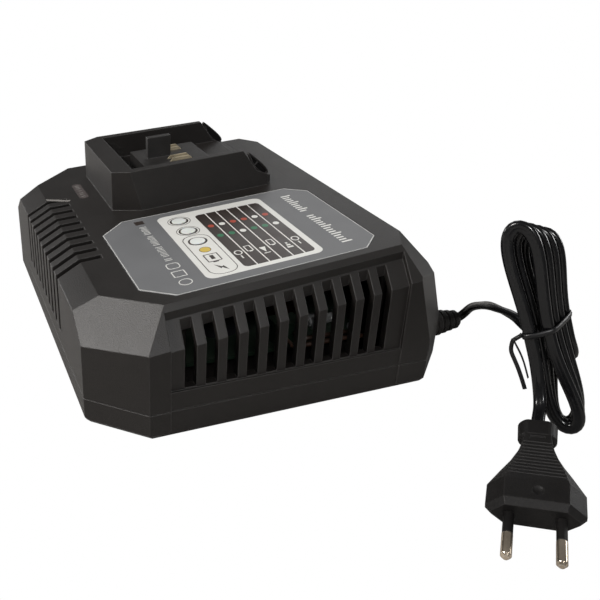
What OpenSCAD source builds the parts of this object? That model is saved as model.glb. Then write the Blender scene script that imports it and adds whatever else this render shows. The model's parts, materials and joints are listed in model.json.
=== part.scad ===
// Mains charger for slide-on tool batteries: two-part louvred case, open battery
// dock with contact blades, boxed electronics, flat flex wound in a hank, flat plug.
// Units mm, +Z up, +Y from the louvred front to the cord end, origin at the centre
// of the case's footprint on the table.

/* [Case] */
// Width of the case, side to side
case_w = 214; // [190:240]
// Depth of the case, front to back
case_d = 176; // [150:200]
// Height of the joint between the two covers
joint_z = 13.5; // [10:20]
// Height of the sloping top at the front edge line
top_z = 52.1; // [45:60]
// Height where the side wall meets its bevel, at the front
bend_z = 37.7; // [30:45]
// Rise of the top per mm towards the back
rise = 0.126; // [0.05:0.2]
// Wall thickness of the covers
wall = 2.4; // [1.8:3]

/* [Vents] */
// Distance from one slot to the next
slot_pitch = 9; // [7:12]
// Width of one side slot
slot_w = 5; // [3:6]
// Number of side slots
side_slots = 11; // [6:13]
// Number of front slots
front_slots = 10; // [6:12]
// Width of one front slot
front_slot_w = 4; // [2.5:5]
// Depth of the recess that holds the side slots
vent_recess = 1.6; // [1:2]

/* [Dock] */
// Sideways place of the dock's middle
dock_x = -45; // [-55:-35]
// Height of the dock's rim above the sloping top
rim_h = 20; // [14:24]
// Height of the dock's floor above the sloping top
floor_h = 7.2; // [5:10]
// Clear width between the dock's walls
dock_gap = 63; // [55:70]

/* [Label and lights] */
// Length of the label plate along the slope
label_l = 110.6; // [90:120]
// Width of the label plate
label_w = 87.4; // [70:95]
// Diameter of one signal lens
lens_d = 7; // [5:9]

/* [Cord and plug] */
// Width of the flat flex
flex_w = 5.4; // [5:6]
// Thickness of the flat flex
flex_t = 3.4; // [3:4]
// Width of the plug's body
plug_w = 35.3; // [34:37]
// Thickness of the plug's body
plug_t = 13.7; // [12:15]
// Distance between the pins at their roots
pin_gap = 18.2; // [17.5:18.6]
// Diameter of a pin's bare metal
pin_d = 4; // [3.9:4.1]

/* [Hidden] */
hw = case_w / 2;
hd = case_d / 2;
slope = atan(rise);
fz = top_z + rise * 10.25;
bz = top_z + rise * 147.5;

// outer faces: normal, point
faces = [
  [[0, -rise, 1], [0, -hd, top_z]],
  [[0, -1, 0], [0, -hd, 0]],
  [[0, -6.5, 10.25], [0, -hd, fz - 6.5]],
  [[0, 18.1, 19.5], [0, hd - 28.5, bz]],
  [[0, 25.6, 8], [0, hd - 9, bz - 18.1]],
  [[0, 8, 1], [0, hd, 19]],
  [[0, 1, 0], [0, hd, 0]],
  [[0, -3.4, -2.8], [0, -hd, 4.2]],
  [[0, 2, -1.4], [0, hd, 3.4]]
];
// outer faces of one half: normal, point, mirrored for the other half
pairs = [
  [[1, 0, 0], [hw, 0, 0]],
  [[14.4, -1.4616, 11.6], [hw, -hd, bend_z]],
  [[1, -1, 0], [hw, -hd + 21.4, 0]],
  [[0.672, -0.81, 1], [hw, -hd + 21.4, 40.53]],
  [[1, 1, 0], [hw, hd - 20, 0]],
  [[25.6, 25.6, 8], [hw, hd - 21, 27]],
  [[0.405, 0.624, 0.672], [hw, hd - 29, 56.4]],
  [[2, 0, -1.4], [hw, 0, 3.2]],
  [[1, -1, -1.2], [hw, -hd + 21.4, 3.4]],
  [[1, 1, -1.2], [hw, hd - 20, 3.4]]
];

function flip(v, s) = [v[0] * s, v[1], v[2]];

module beyond(n, p) {
  translate(p)
    rotate([0, acos(n[2] / norm(n)), atan2(n[1], n[0])])
      translate([-300, -300, 0])
        cube([600, 600, 300]);
}

// the whole case as a solid, every face moved inwards by o
module body(o) {
  difference() {
    translate([-hw - 5, -hd - 5, 1.2])
      cube([case_w + 10, case_d + 10, 90]);
    for (q = faces)
      beyond(q[0], q[1] - q[0] / norm(q[0]) * o);
    for (q = pairs)
      for (s = [-1, 1])
        beyond(flip(q[0], s), flip(q[1] - q[0] / norm(q[0]) * o, s));
  }
}

module on_top(h) {
  translate([0, -hd, top_z])
    rotate([slope, 0, 0])
      translate([0, 0, h])
        children();
}

module dock_outer() {
  top = [0, -hd, top_z + rim_h];
  difference() {
    translate([dock_x - 45, -hd + 37.5, joint_z + 25])
      cube([90, 96, 70]);
    beyond([0, -rise, 1], top);
    for (s = [-1, 1]) {
      beyond([21 * s, 0, 3.4], [dock_x + 38.7 * s, 0, 62]);
      beyond([12.2 * s, -7.6, 0], [dock_x + 31 * s, -hd + 37.5, 0]);
      beyond([s, 1, 0], [dock_x + 38 * s, -hd + 120.2, 0]);
    }
    // wall ends: a steep slope, then a low tongue
    intersection() {
      beyond([0, 1.35, 1], [0, -hd + 107, 85.4]);
      beyond([0, 0.35, 1], [0, -hd + 114.5, 75]);
    }
    beyond([0, 1, 0], [0, -hd + 123.5, 0]);
  }
}

// blind pocket in the end of a dock wall, from y0 to y1 behind the front face
module end_pocket(x, y0, y1, r) {
  difference() {
    translate([x, -hd, 60])
      linear_extrude(height = 40) {
        translate([0, y0 + r])
          circle(r = r, $fn = 24);
        translate([-r, y0 + r])
          square([2 * r, y1 - y0 - 2 * r]);
        translate([0, y1 - r])
          circle(r = r, $fn = 24);
      }
    beyond([0, -0.55, -1], [0, -hd + 116.5, 70.5]);
  }
}

module dock_space() {
  difference() {
    translate([dock_x - dock_gap / 2, -hd + 47.8, 40])
      cube([dock_gap, 120, 70]);
    beyond([0, rise, -1], [0, -hd, top_z + floor_h]);
  }
}

module dock_hollow() {
  difference() {
    translate([dock_x - 30, -hd + 41, 30])
      cube([60, 76, 60]);
    beyond([0, -rise, 1], [0, -hd, top_z + floor_h - 2.4]);
  }
}

module bar_hollow() {
  difference() {
    translate([dock_x - 27, -hd + 40.2, 30])
      cube([54, 5, 60]);
    beyond([0, -rise, 1], [0, -hd, top_z + rim_h - 2.4]);
  }
}

module label_outline(g) {
  x1 = 90.7 - g;
  x0 = 90.7 - label_w + g;
  s0 = 25.6 + g;
  s1 = 25.6 + label_l - g;
  polygon([[x0, s0 + 12.2], [x0 + 12.2, s0], [x1 - 12.2, s0], [x1, s0 + 12.2],
    [x1, s1 - 9.5], [x1 - 9.5, s1], [x0 + 9.5, s1], [x0, s1 - 9.5]]);
}

lens_x = [17.8, 31.4, 44.9];
lens_s = 62.9;
post_x = [10.6, 52.2];
boss_xy = [[88, -50], [88, 50], [-88, -50], [-88, 50]];
post_xy = [[-72, -52], [-72, 52], [64, -52], [64, 52]];
relief_x = 78;
relief_z = 14.6;
vent_y0 = -49.3;
// foot of the side slots, deeper seat of their fins in the bevel
vent_z0 = 22.6;
bevel_recess = 2.3;
grille = 5.6;
panel_depth = 0.5;
seam = 0.4;

module side_zone(s, z0, z1, x0) {
  translate([s > 0 ? x0 : -x0 - 30, -57.8, z0])
    cube([30, 110.1, z1 - z0]);
}

module side_slot_set(s) {
  for (i = [0:side_slots - 1])
    translate([s > 0 ? hw - 9.2 : -hw - 9, vent_y0 + slot_pitch * i - slot_w / 2, vent_z0])
      cube([18.2, slot_w, 60]);
}

module side_recess(s) {
  intersection() {
    side_zone(s, vent_z0 - 0.6, 90, hw - 9.6);
    union() {
      beyond([s, 0, 0], [s * (hw - vent_recess), 0, 0]);
      beyond(flip(pairs[1][0], s), flip(pairs[1][1] - pairs[1][0] / norm(pairs[1][0])
        * bevel_recess, s));
    }
  }
  lower_panel(s);
}

module lower_panel(s) {
  intersection() {
    side_zone(s, 0, vent_z0, hw - 9.6);
    beyond([s, 0, 0], [s * (hw - panel_depth), 0, 0]);
  }
}

module vent_backing() {
  difference() {
    intersection() {
      body(0.5);
      union() {
        for (s = [-1, 1])
          side_zone(s, vent_z0 - 2.8, 90, hw - 14);
        translate([-50, -hd - 2, 18])
          cube([96, 24, 60]);
      }
    }
    body(grille);
  }
}

module front_slot_set() {
  for (i = [0:front_slots - 1])
    translate([38 - slot_pitch * i - front_slot_w / 2, -hd - 5, 20.5])
      cube([front_slot_w, 25, 60]);
}

module relief_hole() {
  translate([relief_x, hd - 10, relief_z])
    rotate([-90, 0, 0])
      cylinder(r = 6.2, h = 20, $fn = 48);
}

module top_cover() {
  color([0.09, 0.085, 0.085])
    difference() {
      union() {
        difference() {
          union() {
            body(0);
            dock_outer();
          }
          body(wall);
          dock_hollow();
          bar_hollow();
          for (s = [-1, 1])
            side_recess(s);
        }
        difference() {
          vent_backing();
          for (s = [-1, 1])
            side_recess(s);
        }
        intersection() {
          body(1);
          for (p = boss_xy)
            translate([p[0], p[1], joint_z + 2.2])
              cylinder(r = 4.2, h = 70, $fn = 32);
        }
      }
      translate([-150, -150, -10])
        cube([300, 300, 10 + joint_z]);
      dock_space();
      for (s = [-1, 1])
        side_slot_set(s);
      front_slot_set();
      on_top(-0.5)
        linear_extrude(height = 3)
          label_outline(0);
      for (x = lens_x)
        on_top(-6)
          translate([x, lens_s, 0])
            cylinder(r = lens_d / 2 + 0.1, h = 8, $fn = 40);
      // opening for the contact block
      translate([dock_x - 16.6, -28.6, 40])
        cube([33.2, 36.2, 60]);
      for (p = flange_xy)
        on_top(0)
          translate([p[0], p[1], 0])
            cylinder(r = 1.22, h = flange_h + 4.6, $fn = 24);
      // run-in behind the dock
      difference() {
        translate([dock_x - 40, -hd + 134.5, 60])
          cube([80, 60, 30]);
        beyond([0, 0.19, -1], [0, -hd + 134.5, top_z + rise * 134.5 - 0.05]);
      }
      for (s = [-1, 1]) {
        end_pocket(dock_x + 33.5 * s, 109.8, 113.4, 1.6);
        end_pocket(dock_x + 34 * s, 114.8, 121.6, 1.9);
      }
      relief_hole();
      for (p = boss_xy)
        translate([p[0], p[1], joint_z])
          cylinder(r = 1.5, h = 18, $fn = 24);
    }
}

module bottom_cover() {
  color([0.09, 0.085, 0.085])
    difference() {
      union() {
        difference() {
          body(0);
          body(wall);
          translate([-150, -150, joint_z - seam])
            cube([300, 300, 100]);
        }
        // lip that centres the upper cover
        difference() {
          union() {
            intersection() {
              body(wall + 0.15);
              translate([-150, -150, joint_z - 1])
                cube([300, 300, 3]);
            }
            intersection() {
              body(wall - 0.3);
              translate([-150, -150, joint_z - 4])
                cube([300, 300, 3.6]);
            }
          }
          body(wall + 1.6);
        }
        // seam band set in from the outer faces
        difference() {
          body(0.45);
          body(wall);
          translate([-150, -150, joint_z])
            cube([300, 300, 100]);
          translate([-150, -150, -1])
            cube([300, 300, joint_z - 2]);
        }
        translate([-hw + 5, -hd + 5, 1.2])
          intersection() {
            cube([case_w - 10, case_d - 10, 2.6]);
            translate([hw - 5, hd - 5, -1.2])
              body(1);
          }
        for (p = boss_xy)
          translate([p[0], p[1], 1.2])
            cylinder(r = 5, h = joint_z + 1, $fn = 32);
        for (p = post_xy)
          translate([p[0], p[1], 1.2])
            cylinder(r = 3.6, h = 8.8, $fn = 32);
        // seat for the cord clamp
        translate([relief_x - 13, 66, 1.2])
          cube([20, 9, 10.2]);
      }
      for (s = [-1, 1]) {
        lower_panel(s);
        intersection() {
          side_zone(s, joint_z - seam, joint_z, hw - 9.6);
          beyond([s, 0, 0], [s * (hw - panel_depth - 0.45), 0, 0]);
        }
      }
      relief_hole();
      for (p = boss_xy)
        translate([p[0], p[1], 0]) {
          cylinder(r = 1.9, h = 20, $fn = 24);
          cylinder(r = 3.6, h = 9, $fn = 32);
        }
      for (p = post_xy)
        translate([p[0], p[1], 4])
          cylinder(r = 1.2, h = 8, $fn = 24);
      for (p = foot_xy)
        translate([p[0], p[1], 0])
          cylinder(r = 6.1, h = 2.2, $fn = 40);
      for (x = [-10, 4])
        translate([relief_x + x, 70.5, 4])
          cylinder(r = 1.2, h = 8, $fn = 24);
      // room in the lip for the relief's flange
      translate([relief_x, hd - wall - 2.3, relief_z])
        rotate([-90, 0, 0])
          cylinder(r = 8.4, h = 2.3, $fn = 48);
      // floor vents under the board
      for (i = [0:9])
        translate([-45 + i * 9 - 1.5, -20, 0])
          cube([3, 40, 6]);
    }
}

foot_xy = [[70, -66], [70, 66], [-70, -66], [-70, 66]];

module feet() {
  color([0.05, 0.05, 0.05])
    for (p = foot_xy)
      translate([p[0], p[1], 0]) {
        cylinder(r1 = 5.4, r2 = 5.9, h = 1, $fn = 40);
        translate([0, 0, 1])
          cylinder(r = 5.9, h = 1.2, $fn = 40);
      }
}

module label_plate() {
  color([0.45, 0.45, 0.45])
    difference() {
      on_top(-0.5)
        linear_extrude(height = 0.5)
          label_outline(0.15);
      for (x = lens_x)
        on_top(-3)
          translate([x, lens_s, 0])
            cylinder(r = lens_d / 2 + 0.1, h = 6, $fn = 40);
    }
}

module signal_lenses() {
  color([0.9, 0.9, 0.88])
    for (x = lens_x)
      on_top(0)
        translate([x, lens_s, 0]) {
          translate([0, 0, -5])
            cylinder(r = lens_d / 2, h = 5.3, $fn = 40);
          translate([0, 0, -4])
            cylinder(r = lens_d / 2 + 1, h = 1.5, $fn = 40);
          translate([0, 0, -9])
            cylinder(r = 1.6, h = 5, $fn = 24);
        }
}

module signal_board() {
  color([0.1, 0.35, 0.16])
    difference() {
      on_top(-15.8)
        translate([8, 52, 0])
          cube([47, 22, 1.6]);
      for (x = post_x)
        on_top(-20)
          translate([x, lens_s, 0])
            cylinder(r = 1.3, h = 8, $fn = 24);
    }
}

module signal_board_posts() {
  color([0.09, 0.085, 0.085])
    for (x = post_x)
      on_top(-14.2)
        translate([x, lens_s, 0])
          difference() {
            cylinder(r = 2.2, h = 14.2 - wall, $fn = 32);
            translate([0, 0, -1])
              cylinder(r = 1, h = 8, $fn = 24);
          }
}

module signal_leds() {
  color([0.85, 0.3, 0.2])
    for (x = lens_x)
      on_top(-14.2)
        translate([x, lens_s, 0]) {
          cylinder(r = 1.9, h = 0.8, $fn = 24);
          cylinder(r = 1.5, h = 5.1, $fn = 24);
        }
}

module contact_block() {
  color([0.16, 0.155, 0.15])
    difference() {
      union() {
        // raised table through the dock's floor
        difference() {
          translate([dock_x - 16.4, -28.4, 56])
            cube([32.8, 35.8, 30]);
          beyond([0, -rise, 1], [0, -hd, top_z + 14]);
        }
        // flange under the dock's floor
        difference() {
          translate([dock_x - 23, -33, 50])
            cube([46, 45, 40]);
          beyond([0, -rise, 1], [0, -hd, top_z + floor_h - 2.4]);
          beyond([0, rise, -1], [0, -hd, top_z + floor_h - 5]);
        }
        // upright guide rib
        difference() {
          translate([dock_x - 1.9, -23.4, 66])
            cube([3.8, 12.8, 40]);
          beyond([0, -rise, 1], [0, -hd, top_z + 25.4]);
        }
      }
      for (x = blade_x)
        translate([dock_x + x - 0.5, -14.2, 40])
          cube([1, 13.2, 60]);
      for (p = flange_xy)
        on_top(0)
          translate([p[0], p[1], 0])
            cylinder(r = 1.4, h = 5, $fn = 24);
    }
}

blade_x = [-12, -7, 7, 12];
// screws of the flange: sideways place, place along the slope
flange_xy = [[dock_x - 20, 64.5], [dock_x + 20, 64.5], [dock_x - 20, 91.5],
  [dock_x + 20, 91.5]];
flange_h = (floor_h - 5) * cos(slope);

module contact_blades() {
  color([0.78, 0.62, 0.3])
    for (x = blade_x)
      translate([dock_x + x, -7.6, 0])
        rotate([90, 0, 90])
          translate([0, 0, -0.45])
            linear_extrude(height = 0.9)
              polygon([[-6.6, 52], [6.6, 52], [6.6, 76.4], [4.4, 78.4],
                [-4.6, 77.2], [-6.6, 75]]);
}

module contact_screws() {
  color([0.6, 0.6, 0.6])
    for (p = flange_xy)
      on_top(flange_h)
        translate([p[0], p[1], 0]) {
          translate([0, 0, -1.2])
            cylinder(r = 2.2, h = 1.2, $fn = 32);
          cylinder(r = 1.2, h = 4.6, $fn = 24);
        }
}

module circuit_board() {
  color([0.1, 0.35, 0.16])
    difference() {
      translate([-79, -58, 10])
        cube([150, 116, 1.6]);
      for (p = post_xy)
        translate([p[0], p[1], 5])
          cylinder(r = 1.6, h = 10, $fn = 24);
    }
}

module board_screws() {
  color([0.62, 0.62, 0.62])
    for (p = post_xy)
      translate([p[0], p[1], 0]) {
        translate([0, 0, 5])
          cylinder(r = 1.18, h = 7, $fn = 24);
        translate([0, 0, 11.6])
          cylinder(r = 2.8, h = 1.8, $fn = 32);
      }
}

module transformer_core() {
  color([0.13, 0.13, 0.14])
    difference() {
      translate([-24, -22, 15.6])
        cube([38, 34, 26]);
      translate([-17, -30, 20.6])
        cube([8, 50, 16]);
      translate([-1, -30, 20.6])
        cube([8, 50, 16]);
    }
}

module transformer_coil() {
  color([0.75, 0.66, 0.2])
    difference() {
      union() {
        translate([-16.9, -24, 20.7])
          cube([23.8, 38, 15.8]);
        translate([-20, -26, 11.6])
          cube([30, 42, 4]);
        translate([-16.9, -24, 15.6])
          cube([23.8, 1.9, 6]);
        translate([-16.9, 12.1, 15.6])
          cube([23.8, 1.9, 6]);
      }
      translate([-9.1, -22.1, 12])
        cube([8.2, 34.2, 30]);
      translate([-9.1, -30, 20.5])
        cube([8.2, 50, 16.2]);
    }
}

// tall enough to stay just under the signal board
cap_y = -14;
cap_h = top_z + rise * (cap_y - 9.6 + hd) - 15.8 / cos(slope) - 11.6 - 0.6 - 0.09;

module main_capacitor() {
  color([0.1, 0.1, 0.12])
    translate([42, cap_y, 11.6]) {
      cylinder(r = 11, h = cap_h, $fn = 48);
      translate([0, 0, cap_h])
        cylinder(r = 9.6, h = 0.6, $fn = 48);
    }
}

module output_capacitors() {
  color([0.12, 0.14, 0.3])
    for (p = [[-44, 40], [-56, 40], [-44, 27]])
      translate([p[0], p[1], 11.6])
        cylinder(r = 5, h = 21, $fn = 32);
}

module input_choke() {
  color([0.72, 0.35, 0.12])
    difference() {
      translate([38, 22, 11.6])
        cylinder(r = 10.5, h = 12, $fn = 40);
      translate([38, 22, 5])
        cylinder(r = 4, h = 24, $fn = 32);
    }
}

module fuse_link() {
  color([0.85, 0.86, 0.84])
    translate([56, 30, 15])
      rotate([-90, 0, 0])
        cylinder(r = 2.6, h = 20, $fn = 32);
}

module fuse_clips() {
  color([0.7, 0.7, 0.68])
    for (y = [31, 45])
      difference() {
        translate([52.6, y, 11.6])
          cube([6.8, 4, 6]);
        translate([56, y - 1, 15])
          rotate([-90, 0, 0])
            cylinder(r = 2.6, h = 6, $fn = 32);
        translate([54.2, y - 1, 15])
          cube([3.6, 6, 5]);
      }
}

module heat_sinks() {
  color([0.72, 0.73, 0.74]) {
    union() {
      translate([-48, -50, 11.6])
        cube([74, 2.4, 30]);
      for (i = [0:8])
        translate([-48 + i * 9, -47.8, 11.6])
          cube([1.6, 7, 30]);
    }
    union() {
      translate([-70, -34, 11.6])
        cube([2.4, 52, 28]);
      for (i = [0:6])
        translate([-67.8, -34 + i * 8.4, 11.6])
          cube([7, 1.6, 28]);
    }
  }
}

// three-legged switch leaning its back on +Y
module switch_pack() {
  translate([-5, -4.6, 2.4])
    cube([10, 4.6, 15]);
  for (x = [-2.54, 0, 2.54])
    translate([x - 0.4, -2.8, 0])
      cube([0.8, 0.6, 2.6]);
}

module power_switches() {
  color([0.07, 0.07, 0.08]) {
    for (x = [-29, 15])
      translate([x, -50, 11.6])
        switch_pack();
    translate([-70, -9, 11.6])
      rotate([0, 0, -90])
        switch_pack();
  }
}

module mains_terminal() {
  color([0.2, 0.42, 0.25])
    difference() {
      translate([58, 6, 11.6])
        cube([11, 14, 11]);
      for (y = [9.6, 16.4])
        translate([60, y, 17])
          rotate([0, 90, 0])
            cylinder(r = 1.6, h = 12, $fn = 24);
    }
}

// route of one mains lead from its terminal to the cord's end
function wire_r(i) = let (y = 9.6 + 6.8 * i, x = 80.8 - 5.6 * i, e = relief_x + 1.3 - 2.6 * i)
  [[54, y, 17], [60, y, 17], [x - 3.5, y, 17], [x, y + 3.5, 17], [x, 40, 17],
    [(x + e) / 2, 49, 15.9], [e, 57, relief_z], [e, 60, relief_z], [e, 64, relief_z]];
wire_round = [for (k = [0:13]) 1.1 * [cos(k * 360 / 14), sin(k * 360 / 14)]];

module mains_leads() {
  for (i = [0, 1]) {
    ps = route(wire_r(i));
    color(i == 0 ? [0.45, 0.25, 0.12] : [0.15, 0.3, 0.6])
      tube(ps, route_t(ps, [1, 0, 0], [0, 1, 0]), [for (p = ps) [0, 0, 1]], wire_round);
  }
}

module output_leads() {
  color([0.55, 0.08, 0.06])
    for (x = blade_x) {
      translate([dock_x + x, -7.6, 11.6])
        cylinder(r = 1.1, h = 40.4, $fn = 16);
    }
}

module cord_clamp() {
  color([0.16, 0.16, 0.16])
    difference() {
      translate([relief_x - 13, 67, 11.4])
        cube([20, 7, 7]);
      flex_bore(50, 50);
      for (x = [-10, 4])
        translate([relief_x + x, 70.5, 5])
          cylinder(r = 1.5, h = 20, $fn = 24);
    }
}

module clamp_screws() {
  color([0.62, 0.62, 0.62])
    for (x = [-10, 4])
      translate([relief_x + x, 70.5, 0]) {
        translate([0, 0, 5])
          cylinder(r = 1.18, h = 14, $fn = 24);
        translate([0, 0, 18.4])
          cylinder(r = 2.6, h = 1.8, $fn = 32);
      }
}

module case_screws() {
  color([0.35, 0.35, 0.36])
    for (p = boss_xy)
      translate([p[0], p[1], 0])
        difference() {
          union() {
            translate([0, 0, 6.8])
              cylinder(r = 3.3, h = 2.2, $fn = 32);
            translate([0, 0, 8])
              cylinder(r = 1.48, h = 22, $fn = 24);
          }
          translate([-2, -0.5, 5])
            cube([4, 1, 2.8]);
          translate([-0.5, -2, 5])
            cube([1, 4, 2.8]);
        }
}

module flex_bore(y, l) {
  translate([relief_x, y + l, relief_z])
    rotate([90, 0, 0])
      linear_extrude(height = l)
        polygon(flat8);
}

module strain_relief() {
  color([0.07, 0.07, 0.07])
    difference() {
      union() {
        // flange against the inside of the wall
        intersection() {
          body(wall + 0.03);
          translate([relief_x, hd - wall - 2, relief_z])
            rotate([-90, 0, 0])
              cylinder(r = 8.2, h = 5, $fn = 48);
        }
        translate([relief_x, 0, relief_z])
          rotate([-90, 0, 0]) {
            translate([0, 0, hd - wall - 1])
              cylinder(r = 6.15, h = wall + 1.2, $fn = 48);
            translate([0, 0, hd + 0.1])
              cylinder(r1 = 6.6, r2 = 4, h = 19.5, $fn = 48);
            for (i = [0:4])
              translate([0, 0, hd + 0.1 + i * 4])
                cylinder(r = 7.4 - i * 0.62, h = 2.2, $fn = 48);
          }
      }
      flex_bore(50, 80);
    }
}

// cord: plug's pose, hank's frame (axis up, spread, depth) and middle
plug_at = [207.6, 44.5, 8.9];
plug_turn = [10.4, -8.4, 46.4];
plug_axis = [-0.7308, 0.6589, 0.1782];
// a point on the plug's middle line, y mm from the pin face
function plug_point(y) = plug_at + plug_axis * y;
hank_c = [151, 92, 48.6];
hank_turns = 3.5;
hank_side = 65;
turn_gap = 5.3;
waist = 3.2;
belly = 9.2;
// each turn lies a little further across than the last
turn_shift = 1.6;
// fanned loops: sideways shift, its growth per turn, half length, its growth per turn
top_loops = [0.4, 0.4, 47.5, -2.5];
low_loops = [3.4, -3.2, 44.4, 1];

function unit(v) = v / norm(v);
hank_a = unit([-0.353, -0.203, 0.913]);
view_u = [0.447, 0.891, 0.078];
hank_u = unit(view_u - (view_u * hank_a) * hank_a);
hank_w = cross(hank_a, hank_u);
hank_s = cos(hank_side) * hank_u + sin(hank_side) * hank_w;
hank_m = cross(hank_s, hank_a);
// a point in the hank's frame: across the turns, across a loop, up
function in_loop(q) = hank_c + hank_s * q[0] + hank_m * q[1] + hank_a * q[2];

// winding angle from 0 (waist, plug side) onwards, one turn is 360
function wound(q) =
  let (s = sin(q), t = q / 360, f = s > 0 ? top_loops : low_loops, k = t - (s > 0 ? 0.25 : 0.75))
  in_loop([turn_gap * (t - hank_turns / 2),
    turn_shift * t - 2.1 - cos(q) * (waist + belly * s * s) + (f[0] + f[1] * k) * s * s,
    (f[2] + f[3] * k) * s]);
function run_dir(q) = unit(wound(q + 1) - wound(q - 1));
steps = 24 * hank_turns;
last_q = 360 * hank_turns;
plug_end_p = wound(0) - hank_a * 5.5;
free_end_p = wound(last_q) - hank_a * 5.5;
wound_p = concat([plug_end_p, wound(0) - hank_a * 1.5],
  [for (i = [1:steps - 1]) wound(15 * i)],
  [wound(last_q) - hank_a * 1.5, free_end_p]);
wound_t = concat([hank_a, hank_a], [for (i = [1:steps - 1]) run_dir(15 * i)],
  [-hank_a, -hank_a]);

// six-cornered section for the wound turns
fw = flex_w / 2;
ft = flex_t / 2;
hex = [[ft, fw - 1.3], [0, fw], [-ft, fw - 1.3], [-ft, 1.3 - fw], [0, -fw], [ft, 1.3 - fw]];
// eight-cornered section for the free stretches
fe = fw - 0.8;
fh = ft - 0.1;
flat8 = [[fw, 0.7], [fe, fh], [-fe, fh], [-fw, 0.7], [-fw, -0.7], [-fe, -fh], [fe, -fh], [fw, -0.7]];
// one ring of a tube: centre, direction, width direction, section
function ring(p, t, w, sec) =
  let (x = unit(w - (w * t) * t), y = cross(t, x))
  [for (c = sec) p + x * c[0] + y * c[1]];

// closed skin over rings that have one point count
module skin(rings) {
  n = len(rings[0]);
  k = len(rings);
  sides = [for (i = [0:k - 2]) for (j = [0:n - 1]) each [
    [i * n + j, (i + 1) * n + (j + 1) % n, i * n + (j + 1) % n],
    [i * n + j, (i + 1) * n + j, (i + 1) * n + (j + 1) % n]]];
  ends = concat([[for (j = [0:n - 1]) j]],
    [[for (j = [n - 1:-1:0]) (k - 1) * n + j]]);
  polyhedron(points = [for (r = rings) each r], faces = concat(sides, ends), convexity = 12);
}

module tube(ps, ts, ws, sec) {
  skin([for (i = [0:len(ps) - 1]) ring(ps[i], ts[i], ws[i], sec)]);
}

// smooth route through chosen points, three short pieces between two points
function mid(a, b, c, d, t) = 0.5 * (2 * b + (c - a) * t
  + (2 * a - 5 * b + 4 * c - d) * t * t + (3 * b - a - 3 * c + d) * t * t * t);
function route(r) = concat([for (i = [1:len(r) - 3]) for (k = [0:2])
  mid(r[i - 1], r[i], r[i + 1], r[i + 2], k / 3)], [r[len(r) - 2]]);
function route_t(p, t0, t1) = [for (i = [0:len(p) - 1])
  i == 0 ? t0 : i == len(p) - 1 ? t1 : unit(p[i + 1] - p[i - 1])];
function fade(n, a, b) = [for (i = [0:n - 1]) a * (1 - i / (n - 1)) + b * i / (n - 1)];

relief_end = [relief_x, hd + 19.6, relief_z];
free_r = [[relief_x, 101, relief_z], relief_end, [78.8, 111.5, 17.5], [83, 111.5, 23.1],
  [91, 109, 28.4], [101, 105, 33.9], [112.5, 100.5, 38.4], [124, 98.5, 41],
  in_loop([17, -14, 0]), in_loop([14.5, -9, -5]), in_loop([15, -4, -11]),
  in_loop([14.5, 1.5, -16.5]), in_loop([13.2, 5.4, -18.8]), in_loop([10.4, 7, -14.8]),
  free_end_p - hank_a * 4, free_end_p, free_end_p + hank_a * 4];
free_p = route(free_r);
free_t = route_t(free_p, [0, 1, 0], hank_a);
// width of the flat flex at each point of the route: level, then on edge, then as wound
free_w = [[1, 0, 0], [1, 0, 0], [1, -0.2, 0], [0.8, -0.6, 0], [0.5, -1, 0], [0.4, -1, 0],
  [0.3, -1, 0.3], [0.1, -0.6, 0.8], hank_a, hank_a + hank_m, hank_m + 0.4 * hank_a, hank_m,
  hank_m, hank_m, hank_m, hank_m];
free_ws = concat([for (i = [1:len(free_r) - 3]) for (k = [0:2])
  free_w[i] * (1 - k / 3) + free_w[i + 1] * k / 3], [hank_m]);
lead_end = plug_point(47.6);
lead_r = [plug_end_p + hank_a * 4, plug_end_p, plug_end_p - hank_a * 4.5,
  in_loop([-9.8, -5.6, -17]), in_loop([-11.2, -6.1, -24]), in_loop([-14.2, -6.6, -29.4]),
  plug_point(51.5), lead_end, plug_point(44)];
lead_p = route(lead_r);
lead_t = route_t(lead_p, -hank_a, -plug_axis);

function length_of(p, i = 0) = i >= len(p) - 1 ? 0 : norm(p[i + 1] - p[i]) + length_of(p, i + 1);
// distance between turns: along the spread and across it
function turn_space(p, skip) = min([for (i = [0:len(p) - 1]) for (j = [i + skip:1:len(p) - 1])
  let (d = p[i] - p[j], s = abs(d * hank_s), o = norm(d - (d * hank_s) * hank_s))
  max(s - 3.4, o - 5.4)]);
echo(wound_length = length_of(wound_p), free_length = length_of(free_p),
  lead_length = length_of(lead_p));
echo(gap_of_turns = turn_space(wound_p, 8), from = plug_end_p, to = free_end_p);
echo(lowest = min([for (p = wound_p) p[2]]), highest = max([for (p = wound_p) p[2]]));

module cord() {
  color([0.04, 0.04, 0.045]) {
    tube(concat([[relief_x, 60, relief_z]], free_p),
      concat([[0, 1, 0]], free_t),
      concat([[1, 0, 0]], free_ws), flat8);
  }
}

module cord_hank() {
  color([0.04, 0.04, 0.045])
    tube(wound_p, wound_t, [for (p = wound_p) hank_s], hex);
}

module cord_lead() {
  color([0.04, 0.04, 0.045])
    tube(lead_p, lead_t, fade(len(lead_p), hank_m, [0.682, 0.717, 0.146]), flat8);
}

module in_hank() {
  multmatrix([[hank_s[0], -hank_m[0], hank_a[0], hank_c[0]],
      [hank_s[1], -hank_m[1], hank_a[1], hank_c[1]],
      [hank_s[2], -hank_m[2], hank_a[2], hank_c[2]]])
    children();
}

// outline round the hank's waist: along the spread, across it
tie_hull = [[-11.2, 6.9], [-9.3, 8.4], [6.8, 3.6], [8.6, 2.2], [11.2, -5.2], [11.2, -8.3],
  [9.3, -9.8], [-6.8, -5], [-8.5, -3.6], [-11.2, 3.8]];

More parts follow.
